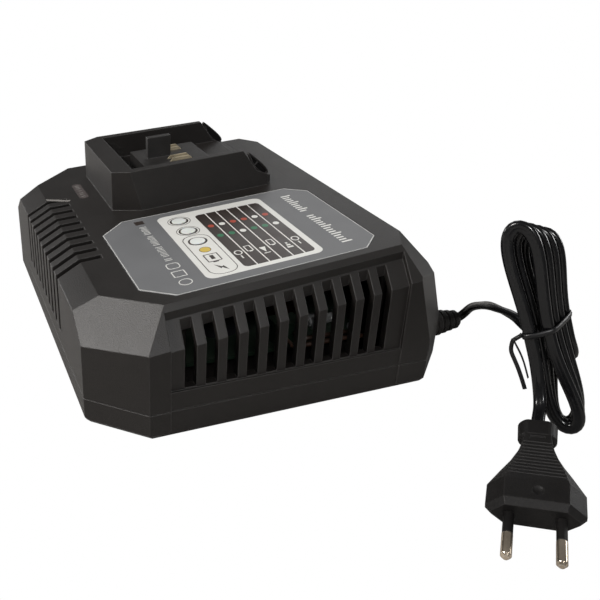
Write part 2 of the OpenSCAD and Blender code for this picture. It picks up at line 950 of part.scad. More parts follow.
module cord_tie() {
  color([0.06, 0.06, 0.06])
    in_hank() {
      translate([0, 0, 1])
        linear_extrude(height = 2)
          difference() {
            polygon(tie_hull * 1.1);
            polygon(tie_hull);
          }
      translate([-11, 8.9, -1.5])
        cube([3.6, 4.4, 4]);
      translate([-9.8, 12.5, -22])
        cube([1.6, 0.7, 21]);
      translate([-10.6, 9.4, -17])
        cube([0.7, 1.2, 16]);
    }
}

module in_plug() {
  translate(plug_at)
    rotate(plug_turn)
      children();
}

// plug's outline: distance from the pin face, half width, half thickness, half flat
plug_sections = [[0, plug_w / 2 - 2.4, plug_t / 2 - 1.75, 10.6],
  [2.6, plug_w / 2, plug_t / 2, 11.2], [12, plug_w / 2, plug_t / 2, 11.4],
  [20, 13.2, 5.7, 9.3], [25.5, 9.9, 4.95, 7.6], [30, 7.6, 4.5, 6.3], [35, 6.1, 4.25, 5.3],
  [39, 5.8, 4.2, 5]];
plug_edge = 0.9;
rib_pitch = 1.9;
collar_sections = [[38, 6.6, 3.6], [39, 7.6, 4.4], [46.2, 7.8, 4.4], [47.6, 6.8, 3.4]];

// eight-cornered ring of the plug's body; c holds one row of plug_sections
function plug_ring(c) = [for (q = [[c[1], plug_edge], [c[3], c[2]], [-c[3], c[2]],
  [-c[1], plug_edge], [-c[1], -plug_edge], [-c[3], -c[2]], [c[3], -c[2]],
  [c[1], -plug_edge]]) [q[0], c[0], -q[1]]];
// round-ended ring of the collar
function collar_ring(c) = [for (i = [0:23]) let (e = i * 15 + 7.5)
  [sign(cos(e)) * (c[1] - c[2]) + c[2] * cos(e), c[0], -c[2] * sin(e)]];
function body_half(y) = lookup(y, [for (c = plug_sections) [c[0], c[2]]]);

module plug_body() {
  color([0.05, 0.05, 0.055])
    in_plug()
      difference() {
        union() {
          skin([for (c = plug_sections) plug_ring(c)]);
          skin([for (c = collar_sections) collar_ring(c)]);
        }
        // grip ribs, dimples and slits of both broad faces
        for (s = [-1, 1]) {
          for (y = [14.4:rib_pitch:35])
            translate([-20, y, s * (body_half(y + 0.4) + 1.7) - 2])
              cube([40, 0.8, 4]);
          translate([0.6, 7, s * (plug_t / 2 + 2.6)])
            sphere(r = 3.4, $fn = 24);
          translate([-2.8, 36.3, s * 4.6 - 1])
            cube([5.6, 1.3, 2]);
        }
        for (x = [-pin_gap / 2, pin_gap / 2])
          translate([x, 10, 0])
            rotate([90, 0, 0])
              cylinder(r = 1.98, h = 12, $fn = 32);
      }
}

module pin_sleeves() {
  color([0.05, 0.05, 0.055])
    in_plug()
      for (x = [-pin_gap / 2, pin_gap / 2])
        translate([x, 0, 0])
          rotate([90, 0, 0])
            difference() {
              translate([0, 0, -8])
                cylinder(r = 1.94, h = 17, $fn = 32);
              translate([0, 0, -9])
                cylinder(r = 1.5, h = 19, $fn = 24);
            }
}

module plug_pins() {
  color([0.75, 0.75, 0.73])
    in_plug()
      for (x = [-pin_gap / 2, pin_gap / 2])
        translate([x, 0, 0])
          rotate([90, 0, 0]) {
            translate([0, 0, -9.5])
              cylinder(r = 1.46, h = 19, $fn = 24);
            translate([0, 0, 9])
              cylinder(r = pin_d / 2, h = 9, $fn = 32);
            translate([0, 0, 18])
              cylinder(r1 = pin_d / 2, r2 = 1.1, h = 1, $fn = 32);
          }
}

top_cover();
bottom_cover();
feet();
label_plate();
signal_lenses();
signal_board();
signal_board_posts();
signal_leds();
contact_block();
contact_blades();
contact_screws();
circuit_board();
board_screws();
transformer_core();
transformer_coil();
main_capacitor();
output_capacitors();
input_choke();
fuse_link();
fuse_clips();
heat_sinks();
power_switches();
mains_terminal();
mains_leads();
output_leads();
cord_clamp();
clamp_screws();
case_screws();
strain_relief();
cord();
cord_hank();
cord_lead();
cord_tie();
plug_body();
pin_sleeves();
plug_pins();
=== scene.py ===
import json
import math

import bmesh
import bpy
from mathutils import Matrix, Vector

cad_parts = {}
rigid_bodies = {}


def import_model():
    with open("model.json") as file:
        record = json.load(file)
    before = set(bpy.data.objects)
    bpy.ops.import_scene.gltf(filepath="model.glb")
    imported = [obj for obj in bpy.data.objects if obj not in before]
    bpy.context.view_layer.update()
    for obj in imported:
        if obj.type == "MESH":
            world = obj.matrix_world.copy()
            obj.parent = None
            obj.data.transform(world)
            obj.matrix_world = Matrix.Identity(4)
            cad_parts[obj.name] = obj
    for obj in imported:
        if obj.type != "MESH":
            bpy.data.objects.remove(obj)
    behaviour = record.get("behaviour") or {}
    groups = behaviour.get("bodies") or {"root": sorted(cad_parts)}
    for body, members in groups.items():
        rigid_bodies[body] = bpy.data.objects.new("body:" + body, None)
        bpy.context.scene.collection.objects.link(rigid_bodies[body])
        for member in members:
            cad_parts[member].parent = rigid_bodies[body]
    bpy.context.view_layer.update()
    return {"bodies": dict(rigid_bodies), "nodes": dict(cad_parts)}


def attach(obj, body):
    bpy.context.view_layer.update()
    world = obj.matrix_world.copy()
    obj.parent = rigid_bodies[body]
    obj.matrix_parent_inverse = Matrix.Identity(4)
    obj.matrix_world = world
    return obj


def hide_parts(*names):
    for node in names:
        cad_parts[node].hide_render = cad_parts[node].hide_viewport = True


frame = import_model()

nodes = frame["nodes"]
root = list(frame["bodies"])[0]
scene = bpy.context.scene
mm = 0.001  # pieces and camera are typed in millimetres; shaders, floor and lights in metres


def say(stage):
    print("stage:", stage, flush=True)


# camera, fitted to the photo's edges
camera = {
    "lens": 44.04,
    "sensor": 36,
    "nearest": 10,
    "place": (344.39, -133.833, 186.164),
    "right": (0.44658972, 0.89130843, 0.07827449),
    "down": (0.4208737, -0.13206437, -0.89745436),
    "ahead": (-0.78957137, 0.43373757, -0.43410687),
}
camData = bpy.data.cameras.new("camera")
camData.lens = camera["lens"]
camData.sensor_width = camera["sensor"]
camData.clip_start = camera["nearest"] * mm
cam = bpy.data.objects.new("camera", camData)
scene.collection.objects.link(cam)
camSides = (Vector(camera["right"]), -Vector(camera["down"]), -Vector(camera["ahead"]))
camTurn = Matrix(camSides).transposed().to_4x4()
cam.matrix_world = Matrix.Translation(Vector(camera["place"]) * mm) @ camTurn
scene.camera = cam
scene.view_settings.view_transform = "Standard"


# shared shader groups
def newGroup(name, inputs, outputs):
    g = bpy.data.node_groups.new(name, "ShaderNodeTree")
    for n, kind, value in inputs:
        s = g.interface.new_socket(name=n, in_out="INPUT", socket_type=kind)
        s.default_value = value
    for n, kind in outputs:
        g.interface.new_socket(name=n, in_out="OUTPUT", socket_type=kind)
    return g, g.nodes.new("NodeGroupInput"), g.nodes.new("NodeGroupOutput")


def node(tree, kind, **settings):
    n = tree.nodes.new(kind)
    for k, v in settings.items():
        if k in n.inputs:
            n.inputs[k].default_value = v
        else:
            setattr(n, k, v)
    return n


def ramp(tree, source, low, high):
    r = node(tree, "ShaderNodeMapRange")
    tree.links.new(source, r.inputs["Value"])
    r.inputs["From Min"].default_value = low
    r.inputs["From Max"].default_value = high
    return r.outputs["Result"]


def mathNode(tree, kind, a, b):
    m = node(tree, "ShaderNodeMath", operation=kind)
    for i, v in enumerate((a, b)):
        if isinstance(v, (int, float)):
            m.inputs[i].default_value = v
        else:
            tree.links.new(v, m.inputs[i])
    return m.outputs[0]


grainSizes = {
    "pits": 2600.0,  # for each metre
    "pitSoftness": 0.6,
    "clouds": 60.0,
    "cloudDetail": 4.0,
    "cloudRoughness": 0.6,
    "cloudShare": 0.3,
    "cloudRange": (0.3, 0.7),
}


def makeGrain():
    # moulded grain: fine pits over a soft unevenness
    inputs = [("Scale", "NodeSocketFloat", grainSizes["pits"]),
              ("Soft", "NodeSocketFloat", grainSizes["clouds"])]
    outputs = [("Height", "NodeSocketFloat"), ("Cloud", "NodeSocketFloat")]
    g, i, o = newGroup("mouldGrain", inputs, outputs)
    co = node(g, "ShaderNodeTexCoord").outputs["Object"]
    fine = node(g, "ShaderNodeTexVoronoi", feature="SMOOTH_F1", Smoothness=grainSizes["pitSoftness"])
    wide = node(g, "ShaderNodeTexNoise", Detail=grainSizes["cloudDetail"],
                Roughness=grainSizes["cloudRoughness"])
    g.links.new(co, fine.inputs["Vector"])
    g.links.new(co, wide.inputs["Vector"])
    g.links.new(i.outputs["Scale"], fine.inputs["Scale"])
    g.links.new(i.outputs["Soft"], wide.inputs["Scale"])
    waves = mathNode(g, "MULTIPLY", wide.outputs[0], grainSizes["cloudShare"])
    g.links.new(mathNode(g, "ADD", fine.outputs["Distance"], waves), o.inputs["Height"])
    g.links.new(ramp(g, wide.outputs[0], *grainSizes["cloudRange"]), o.inputs["Cloud"])
    return g


dustSizes = {
    "amount": 0.5,
    "patches": 34.0,  # for each metre
    "patchDetail": 5.0,
    "patchRoughness": 0.65,
    "patchRange": (0.42, 0.8),
    "patchShare": 0.55,
    "specks": 420.0,
    "speckRange": (0.0, 0.16),
    "speckShare": 0.5,
    "upward": (0.35, 1.0),  # part of the normal that points up: no dust, full dust
    "tone": (0.32, 0.3, 0.27, 1),
    "dulling": 0.25,
}


def makeDust():
    # faint dust that lies on faces turned up, in specks and soft patches
    g, i, o = newGroup("dustMask", [("Amount", "NodeSocketFloat", dustSizes["amount"])],
                       [("Mask", "NodeSocketFloat")])
    co = node(g, "ShaderNodeTexCoord").outputs["Object"]
    patch = node(g, "ShaderNodeTexNoise", Scale=dustSizes["patches"], Detail=dustSizes["patchDetail"],
                 Roughness=dustSizes["patchRoughness"])
    speck = node(g, "ShaderNodeTexVoronoi", Scale=dustSizes["specks"], Randomness=1.0)
    up = node(g, "ShaderNodeSeparateXYZ")
    g.links.new(node(g, "ShaderNodeNewGeometry").outputs["Normal"], up.inputs[0])
    g.links.new(co, patch.inputs["Vector"])
    g.links.new(co, speck.inputs["Vector"])
    face = ramp(g, up.outputs["Z"], *dustSizes["upward"])
    spots = mathNode(g, "SUBTRACT", 1.0, ramp(g, speck.outputs["Distance"], *dustSizes["speckRange"]))
    soft = ramp(g, patch.outputs[0], *dustSizes["patchRange"])
    both = mathNode(g, "ADD", mathNode(g, "MULTIPLY", soft, dustSizes["patchShare"]),
                    mathNode(g, "MULTIPLY", spots, dustSizes["speckShare"]))
    lying = mathNode(g, "MULTIPLY", both, face)
    g.links.new(mathNode(g, "MULTIPLY", lying, i.outputs["Amount"]), o.inputs["Mask"])
    return g


edgeSizes = {"radius": 0.0006, "samples": 6, "range": (0.01, 0.16), "gain": 2.2, "share": 0.7}


def makeEdge():
    # small rounding of sharp edges, and a mask of where it acts; the mask lightens the base colour there as
    # a painted highlight
    g, i, o = newGroup("edgeRoundingAndPaintedHighlight", [], [("Mask", "NodeSocketFloat"), ("Normal", "NodeSocketVector")])
    soft = node(g, "ShaderNodeBevel", samples=edgeSizes["samples"], Radius=edgeSizes["radius"])
    flat = node(g, "ShaderNodeNewGeometry")
    dot = node(g, "ShaderNodeVectorMath", operation="DOT_PRODUCT")
    g.links.new(soft.outputs[0], dot.inputs[0])
    g.links.new(flat.outputs["Normal"], dot.inputs[1])
    turned = mathNode(g, "SUBTRACT", 1.0, dot.outputs["Value"])
    g.links.new(ramp(g, turned, *edgeSizes["range"]), o.inputs["Mask"])
    g.links.new(soft.outputs[0], o.inputs["Normal"])
    return g


grainGroup = makeGrain()
dustGroup = makeDust()
edgeGroup = makeEdge()


def groupNode(tree, group, **values):
    n = tree.nodes.new("ShaderNodeGroup")
    n.node_tree = group
    for k, v in values.items():
        n.inputs[k].default_value = v
    return n


def mixColors(tree, factor, a, b):
    # a is a socket or a colour, b a colour
    m = node(tree, "ShaderNodeMix", data_type="RGBA")
    tree.links.new(factor, m.inputs["Factor"])
    if isinstance(a, list):
        m.inputs["A"].default_value = a
    else:
        tree.links.new(a, m.inputs["A"])
    m.inputs["B"].default_value = b
    return m.outputs["Result"]


def makeMat(name, color, rough, metal=0.0, scale=2600.0, bump=0.1, reach=0.00015, dust=0.15, vary=0.25,
            spec=0.5, coat=0.0, coatRough=0.2, soft=60.0, trans=0.0, under=0.0, edge=0.0, spread=0.055):
    # scale and soft: pits and clouds for each metre, reach: their depth, vary: tone up and down,
    # spread: roughness up and down, edge: painted highlight, a lighter base colour on sharp edges, under:
    # light below the surface
    m = bpy.data.materials.new(name)
    m.use_nodes = True
    t = m.node_tree
    p = t.nodes["Principled BSDF"]
    p.inputs["Metallic"].default_value = metal
    p.inputs["Specular IOR Level"].default_value = spec
    p.inputs["Coat Weight"].default_value = coat
    p.inputs["Coat Roughness"].default_value = coatRough
    p.inputs["Transmission Weight"].default_value = trans
    p.inputs["Subsurface Weight"].default_value = under
    grain = groupNode(t, grainGroup, Scale=scale, Soft=soft)
    mask = groupNode(t, dustGroup, Amount=dust).outputs["Mask"]
    dark = [c * (1 - vary) for c in color] + [1]
    light = [min(1, c * (1 + vary)) for c in color] + [1]
    tone = mixColors(t, grain.outputs["Cloud"], dark, light)
    tone = mixColors(t, mask, tone, dustSizes["tone"])
    b = node(t, "ShaderNodeBump", Strength=bump, Distance=reach)
    # painted highlight: the base colour is lightened along sharp edges
    if edge:
        edges = groupNode(t, edgeGroup)
        share = mathNode(t, "MULTIPLY", edges.outputs["Mask"], edgeSizes["share"])
        tone = mixColors(t, share, tone, [min(1, c * edgeSizes["gain"] + edge) for c in color] + [1])
        t.links.new(edges.outputs["Normal"], b.inputs["Normal"])
    t.links.new(tone, p.inputs["Base Color"])
    r = node(t, "ShaderNodeMapRange")
    r.inputs["To Min"].default_value = max(0.02, rough - spread)
    r.inputs["To Max"].default_value = min(1.0, rough + spread)
    t.links.new(grain.outputs["Cloud"], r.inputs["Value"])
    duller = mathNode(t, "MULTIPLY", mask, dustSizes["dulling"])
    t.links.new(mathNode(t, "ADD", r.outputs["Result"], duller), p.inputs["Roughness"])
    t.links.new(grain.outputs["Height"], b.inputs["Height"])
    t.links.new(b.outputs["Normal"], p.inputs["Normal"])
    return m


looks = {
    "housing": dict(color=(0.0115, 0.0099, 0.009), rough=0.45, bump=0.27, reach=0.0002, scale=2300.0,
                    dust=0.03, vary=0.1, spec=0.36, edge=0.05, spread=0.015),
    "insulator": dict(color=(0.014, 0.013, 0.0125), rough=0.5, bump=0.15, dust=0.05, edge=0.01),
    # near-black sheet in the lug holes: painted shade
    "pocket": dict(color=(0.0022, 0.002, 0.0019), rough=0.7, spec=0.2, dust=0.02),
    "label": dict(color=(0.132, 0.135, 0.14), rough=0.5, bump=0.08, scale=5200.0, dust=0.02, vary=0.05,
                  edge=0.12),
    "rubber": dict(color=(0.0058, 0.0052, 0.005), rough=0.54, bump=0.5, dust=0.03, scale=2000.0, edge=0.02,
                   spec=0.24),
    "boot": dict(color=(0.015, 0.013, 0.012), rough=0.5, bump=0.3, dust=0.04, scale=2200.0, edge=0.04,
                 spec=0.4),
    "flex": dict(color=(0.0032, 0.0033, 0.0038), rough=0.24, bump=0.06, dust=0.01, scale=1500.0, soft=180.0,
                 coat=0.25, coatRough=0.06, spec=0.3),
    # board green darkened well below its own tone: painted shade for the inside of the case, seen through
    # the vent slots
    "board": dict(color=(0.004, 0.014, 0.0065), rough=0.5, bump=0.1),
    "brass": dict(color=(0.66, 0.57, 0.4), rough=0.3, metal=0.65, bump=0.05, dust=0.05),
    "steel": dict(color=(0.5, 0.5, 0.51), rough=0.3, metal=1.0, bump=0.05, dust=0.05),
    "nickel": dict(color=(0.6, 0.51, 0.4), rough=0.16, metal=0.9, bump=0.06, dust=0.0, vary=0.3, edge=0.1),
    "ferrite": dict(color=(0.02, 0.02, 0.022), rough=0.7),
    "tape": dict(color=(0.06, 0.047, 0.01), rough=0.45),
    "canDark": dict(color=(0.012, 0.012, 0.016), rough=0.3),
    "canBlue": dict(color=(0.012, 0.016, 0.07), rough=0.3),
    "copper": dict(color=(0.06, 0.026, 0.013), rough=0.45, metal=1.0),
    "glass": dict(color=(0.85, 0.86, 0.84), rough=0.08, trans=0.8, dust=0.0),
    "alloy": dict(color=(0.2, 0.2, 0.21), rough=0.5, metal=1.0),
    "epoxy": dict(color=(0.01, 0.01, 0.011), rough=0.45),
    # terminal darkened below its own tone: painted shade for the inside of the case
    "terminal": dict(color=(0.006, 0.02, 0.01), rough=0.5),
    "sleeve": dict(color=(0.03, 0.014, 0.008), rough=0.4),
    # red lead darkened below its own tone: painted shade for the inside of the case
    "redLead": dict(color=(0.045, 0.005, 0.004), rough=0.45),
    "lens": dict(color=(0.8, 0.8, 0.76), rough=0.22, bump=0.03, dust=0.0, vary=0.03, coat=0.5, under=0.1),
    "led": dict(color=(0.5, 0.1, 0.05), rough=0.2),
    "tie": dict(color=(0.005, 0.005, 0.0055), rough=0.34, bump=0.1, dust=0.0, spec=0.4),
    "printWhite": dict(color=(0.66, 0.66, 0.63), rough=0.4, bump=0.05, dust=0.02, vary=0.03, scale=5200.0),
    "printLight": dict(color=(0.52, 0.52, 0.5), rough=0.4, bump=0.05, dust=0.02, vary=0.08, scale=5200.0),
    "printDark": dict(color=(0.03, 0.022, 0.019), rough=0.36, bump=0.04, dust=0.02, vary=0.1, scale=5200.0,
                      spec=0.4),
    "greyPrintAndBar": dict(color=(0.2, 0.19, 0.18), rough=0.5, bump=0.1, dust=0.02, vary=0.1),
    "printFaint": dict(color=(0.06, 0.05, 0.048), rough=0.5, bump=0.1, dust=0.02, vary=0.3, soft=700.0),
    "printRed": dict(color=(0.34, 0.05, 0.025), rough=0.4, dust=0.02, vary=0.08),
    "printGreen": dict(color=(0.02, 0.15, 0.07), rough=0.4, dust=0.02, vary=0.08),
    "printYellow": dict(color=(0.55, 0.4, 0.07), rough=0.4, dust=0.02, vary=0.06),
}
mats = {k: makeMat(k, **v) for k, v in looks.items()}

nodeLooks = {
    "top_cover": "housing", "bottom_cover": "housing", "feet": "rubber", "label_plate": "label",
    "signal_lenses": "lens", "signal_board": "board", "signal_board_posts": "housing",
    "signal_leds": "led", "contact_block": "insulator", "contact_blades": "brass",
    "contact_screws": "steel", "circuit_board": "board", "board_screws": "steel",
    "transformer_core": "ferrite", "transformer_coil": "tape", "main_capacitor": "canDark",
    "output_capacitors": "canBlue", "input_choke": "copper", "fuse_link": "glass", "fuse_clips": "steel",
    "heat_sinks": "alloy", "power_switches": "epoxy", "mains_terminal": "terminal",
    "mains_leads": "sleeve", "output_leads": "redLead", "cord_clamp": "insulator",
    "clamp_screws": "steel", "case_screws": "steel", "strain_relief": "boot", "cord": "flex",
    "cord_hank": "flex", "cord_lead": "flex", "cord_tie": "tie", "plug_body": "rubber",
    "pin_sleeves": "rubber", "plug_pins": "nickel",
}
for n, o in nodes.items():
    o.data.materials.clear()
    o.data.materials.append(mats[nodeLooks[n]])
say("materials")


def addMesh(name, verts, faces, look, smooth=False):
    me = bpy.data.meshes.new(name)
    me.from_pydata([tuple(v) for v in verts], [], faces)
    me.validate()
    bm = bmesh.new()
    bm.from_mesh(me)
    bmesh.ops.recalc_face_normals(bm, faces=bm.faces)
    bm.to_mesh(me)
    bm.free()
    me.materials.append(mats[look])
    if smooth:
        me.polygons.foreach_set("use_smooth", [True] * len(me.polygons))
    o = bpy.data.objects.new(name, me)
    scene.collection.objects.link(o)
    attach(o, root)
    return o


def smoothRoute(points, wides, per):
    # curve from the second point to the last but one, with the width direction beside each of its points
    out = []
    for i in range(1, len(points) - 2):
        a, b, c, d = points[i - 1:i + 3]
        for k in range(per):
            t = k / per
            first = (c - a) * t
            second = (2 * a - 5 * b + 4 * c - d) * t * t
            third = (3 * b - a - 3 * c + d) * t ** 3
            out.append((0.5 * (2 * b + first + second + third), wides[i] * (1 - t) + wides[i + 1] * t))
    return out + [(points[-2], wides[-2])]


def evened(route, step, shortest=0.3):
    # the same route in points a fixed step apart; no last step is a smaller share of it than the shortest
    out, left = [route[0]], step
    for (a, wa), (b, wb) in zip(route, route[1:]):
        d = (b - a).length
        while d > left:
            f = left / d
            a, wa = a + (b - a) * f, wa + (wb - wa) * f
            out.append((a, wa))
            d = (b - a).length
            left = step
        left -= d
    return out + [route[-1]] if left < step * (1 - shortest) else out[:-1] + [route[-1]]


def eased(values, rounds):
    for _ in range(rounds):
        inner = [(a + 2 * b + c) / 4 for a, b, c in zip(values, values[1:], values[2:])]
        values = [values[0]] + inner + [values[-1]]
    return values


def tubeMesh(name, pts, wides, section, look):
    # section swept along the points; its first axis follows the width directions
    n, k = len(section), len(pts)
    verts, faces = [], []
    for i, p in enumerate(pts):
        t = (pts[min(i + 1, k - 1)] - pts[max(i - 1, 0)]).normalized()
        x = (wides[i] - wides[i].dot(t) * t).normalized()
        y = t.cross(x)
        verts += [(p + x * c[0] + y * c[1]) * mm for c in section]
    for i in range(k - 1):
        for j in range(n):
            a, b = i * n + j, i * n + (j + 1) % n
            faces.append((a, b, b + n, a + n))
    faces += [tuple(range(n)), tuple(range((k - 1) * n, k * n))]
    return addMesh(name, verts, faces, look, smooth=True)


# hank: fanned loops round a leaning axis, on the same route as the solids
hank = {
    "middle": Vector((151, 92, 48.6)),
    "axis": Vector((-0.353, -0.203, 0.913)).normalized(),
    "across": Vector((0.447, 0.891, 0.078)),
    "turned": 65,  # degrees from that direction to the one in which the turns lie side by side
    "turns": 3.5,
    "pitch": 5.3,
    "waist": 3.2,
    "belly": 9.2,
    "shift": (-2.1, 1.6),  # sideways place of the first turn, and growth for each turn
    "highLoops": (0.4, 0.4, 47.5, -2.5),  # sideways, growth for each turn, half length, growth
    "lowLoops": (3.4, -3.2, 44.4, 1),
    "step": 7.5,  # degrees between points
    "runOut": 1.5,  # straight on below each end of the turns
    "turnOff": 5.5,  # below each end, where the loose stretches join
}
hankA = hank["axis"]
hankU = (hank["across"] - hank["across"].dot(hankA) * hankA).normalized()
hankTurned = math.radians(hank["turned"])
hankS = math.cos(hankTurned) * hankU + math.sin(hankTurned) * hankA.cross(hankU)
hankM = hankS.cross(hankA)


def inLoop(x, y, z):
    return hank["middle"] + hankS * x + hankM * y + hankA * z


def wound(q):
    # point at q degrees along the turns; a high loop peaks a quarter turn in, a low one at three quarters
    up, over, t = math.sin(math.radians(q)), math.cos(math.radians(q)), q / 360
    loops, peak = (hank["highLoops"], 0.25) if up > 0 else (hank["lowLoops"], 0.75)
    k = t - peak
    sideways = hank["shift"][1] * t + hank["shift"][0] - over * (hank["waist"] + hank["belly"] * up * up)
    sideways += (loops[0] + loops[1] * k) * up * up
    return inLoop(hank["pitch"] * (t - hank["turns"] / 2), sideways, (loops[2] + loops[3] * k) * up)


plug = {
    "place": Vector((207.6, 44.5, 8.9)),
    "axis": Vector((-0.7308, 0.6589, 0.1782)),
    "wide": Vector((0.682, 0.717, 0.146)),
    "flexEnds": (51.5, 47.6, 44),  # points of the flex along the plug's axis
}

flex = {
    "width": 5.4,
    "thickness": 3.4,
    "lobePoints": 9,
    "lobeReach": 0.64,  # half of each lobe's arc, as a share of a half turn
    "step": 1.6,
    "easing": 3,
    "between": 5,  # points from one given point to the next
    "guide": 4,  # guide points above and below that join
    "drop": 4.5,  # first point of the lead below it
    "lean": 0.4,  # share of the hank's axis in the width direction, before the turns
    "reliefEnd": Vector((78, 107.6, 14.6)),
    "inside": (60, 68, 77, 86.4),
    "free": ((78, 79, 14.6), (78, 86, 14.6), (78, 93.5, 14.6), (78, 101, 14.6), (78, 107.6, 14.6),
             (78.8, 111.5, 17.5), (83, 111.5, 23.1), (91, 109, 28.4), (101, 105, 33.9),
             (112.5, 100.5, 38.4), (124, 98.5, 41)),
    "freeWides": ((1, 0, 0), (1, 0, 0), (1, 0, 0), (1, 0, 0), (1, 0, 0), (1, -0.2, 0), (0.8, -0.6, 0),
                  (0.5, -1, 0), (0.4, -1, 0), (0.3, -1, 0.3), (0.1, -0.6, 0.8)),
    "intoHank": ((17, -14, 0), (14.5, -9, -5), (15, -4, -11), (14.5, 1.5, -16.5), (13.2, 5.4, -18.8),
                 (10.4, 7, -14.8)),
    "outOfHank": ((-9.8, -5.6, -17), (-11.2, -6.1, -24), (-14.2, -6.6, -29.4)),
}
across = Vector((1, 0, 0))


def twinSection():
    # outline of a flat twin flex: two round lobes with a groove between
    r = flex["thickness"] / 2
    c = flex["width"] / 2 - r
    reach = math.pi * flex["lobeReach"]
    arc = [-reach + 2 * reach * k / (flex["lobePoints"] - 1) for k in range(flex["lobePoints"])]
    return [(s * (c + r * math.cos(a)), s * r * math.sin(a)) for s in (1, -1) for a in arc]


lastQ = 360 * hank["turns"]
plugEnd = wound(0) - hankA * hank["turnOff"]
freeEnd = wound(lastQ) - hankA * hank["turnOff"]
guide = hankA * flex["guide"]
freeRoute = [Vector(v) for v in flex["free"]] + [inLoop(*v) for v in flex["intoHank"]]
freeRoute += [freeEnd - guide, freeEnd, freeEnd + guide]
freeWides = [Vector(v) for v in flex["freeWides"]] + [hankA, hankA + hankM, hankM + flex["lean"] * hankA]
freeWides += [hankM] * (len(freeRoute) - len(freeWides))
leadRoute = [plugEnd + guide, plugEnd, plugEnd - hankA * flex["drop"]]
leadRoute += [inLoop(*v) for v in flex["outOfHank"]]
leadRoute += [plug["place"] + plug["axis"] * y for y in plug["flexEnds"]]
leadLast = len(leadRoute) - 3
leadWides = [-hankM.lerp(plug["wide"], max(0, i - 1) / leadLast) for i in range(len(leadRoute))]
turns = []
for i in range(1, int(lastQ / hank["step"])):
    q = lastQ - i * hank["step"]
    turns.append((wound(q), hankS.cross((wound(q - 1) - wound(q + 1)).normalized())))
fullRoute = smoothRoute(freeRoute, freeWides, flex["between"])[:-1]
fullRoute += [(freeEnd, hankM), (wound(lastQ) - hankA * hank["runOut"], hankM)] + turns
fullRoute.append((wound(0) - hankA * hank["runOut"], -hankM))
fullRoute += smoothRoute(leadRoute, leadWides, flex["between"])

points, wides = zip(*evened(fullRoute, flex["step"]))
line = eased(list(points), flex["easing"])
lineWides = eased(list(wides), flex["easing"])
flexCord = tubeMesh("flex_cord", line, lineWides, twinSection(), "flex")
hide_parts("cord", "cord_hank", "cord_lead")
inner = [Vector((flex["reliefEnd"].x, y, flex["reliefEnd"].z)) for y in flex["inside"]]
tubeMesh("flex_inside", inner, [across] * len(inner), twinSection(), "flex")
say("cord")

# wire tie round the hank: band, twisted knot and two loose ends, in the hank's own directions
tie = {
    "section": [(-1.1, -0.22), (-0.5, -0.26), (0, -0.5), (0.5, -0.26), (1.1, -0.22),
                (1.1, 0.22), (0.5, 0.26), (0, 0.5), (-0.5, 0.26), (-1.1, 0.22)],
    "hull": [(-11.7, -7.2), (-9.7, -8.8), (7.1, -3.8), (9, -2.3), (11.7, 5.4), (11.7, 8.7), (9.7, 10.2),
             (-7.1, 5.2), (-8.9, 3.7), (-11.7, -4)],
    "cornerPoints": 8,
    "height": 2,
    "slant": 0.05,
    "knot": (-9.2, -8.9, 1.6),
    "knotRun": (-3.6, -1.6),
    "knotRadius": 0.8,
    "knotSteps": 24,
    "knotTurn": (0.5, 4.5),  # first angle and whole twist, in half turns
    "endShare": 0.8,  # of the band's section
    "tails": [
        [(-9, -13.6, -2), (-8.7, -14.4, -5), (-9, -13.7, -9), (-9.1, -13, -13), (-9, -12.5, -18),
         (-9, -12.2, -22.5)],
        [(-10, -11.4, -2.5), (-10.4, -10.4, -6), (-10.2, -9.9, -10), (-10.2, -9.7, -14), (-10.2, -9.6, -17)],
    ],
    "guide": 3,  # guide point past each tail
    "between": 5,
    "step": 0.5,
    "easing": (2, 4),  # of the points, and of the width directions
}


def tieBand():
    # round the hull, with each corner as a curve
    pts = []
    corners = len(tie["hull"])
    for i, (x0, y0) in enumerate(tie["hull"]):
        x1, y1 = tie["hull"][(i + 1) % corners]
        x2, y2 = tie["hull"][(i + 2) % corners]
        for k in range(tie["cornerPoints"]):
            t = k / tie["cornerPoints"]
            x = ((1 - t) ** 2 * (x0 + x1) + t * t * (x1 + x2)) / 2 + 2 * t * (1 - t) * x1
            y = ((1 - t) ** 2 * (y0 + y1) + t * t * (y1 + y2)) / 2 + 2 * t * (1 - t) * y1
            pts.append(inLoop(x, y, tie["height"] + tie["slant"] * x))
    pts = pts[1:] + pts[:2]
    return tubeMesh("tie_band", pts, [hankA] * len(pts), tie["section"], "tie")


def tieEnd(name, sign, tail, facing):
    # one wire of the twisted knot and its loose tail
    route = []
    for i in range(tie["knotSteps"] + 1):
        share = i / tie["knotSteps"]
        a = math.pi * (tie["knotTurn"][0] + tie["knotTurn"][1] * share)
        x, y, z = tie["knot"]
        x += sign * tie["knotRadius"] * math.cos(a)
        y += tie["knotRun"][0] * share
        z += tie["knotRun"][1] * share + sign * tie["knotRadius"] * math.sin(a)
        route.append((inLoop(x, y, z), hankS * -math.sin(a) + hankA * math.cos(a)))
    tailPoints = [route[-2][0], route[-1][0]] + [inLoop(*v) for v in tail]
    tailPoints.append(inLoop(*tail[-1]) - hankA * tie["guide"])
    tailWides = [route[-1][1]] * 2 + [facing] * (len(tailPoints) - 2)
    route += smoothRoute(tailPoints, tailWides, tie["between"])[1:]
    pts, ways = zip(*evened(route, tie["step"]))
    section = [(x * tie["endShare"], y * tie["endShare"]) for x, y in tie["section"]]
    return tubeMesh(name, eased(list(pts), tie["easing"][0]), eased(list(ways), tie["easing"][1]), section,
                    "tie")


band = tieBand()
ends = [tieEnd("tie_end_1", 1, tie["tails"][0], hankM), tieEnd("tie_end_2", -1, tie["tails"][1], hankS)]
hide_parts("cord_tie")
say("tie")
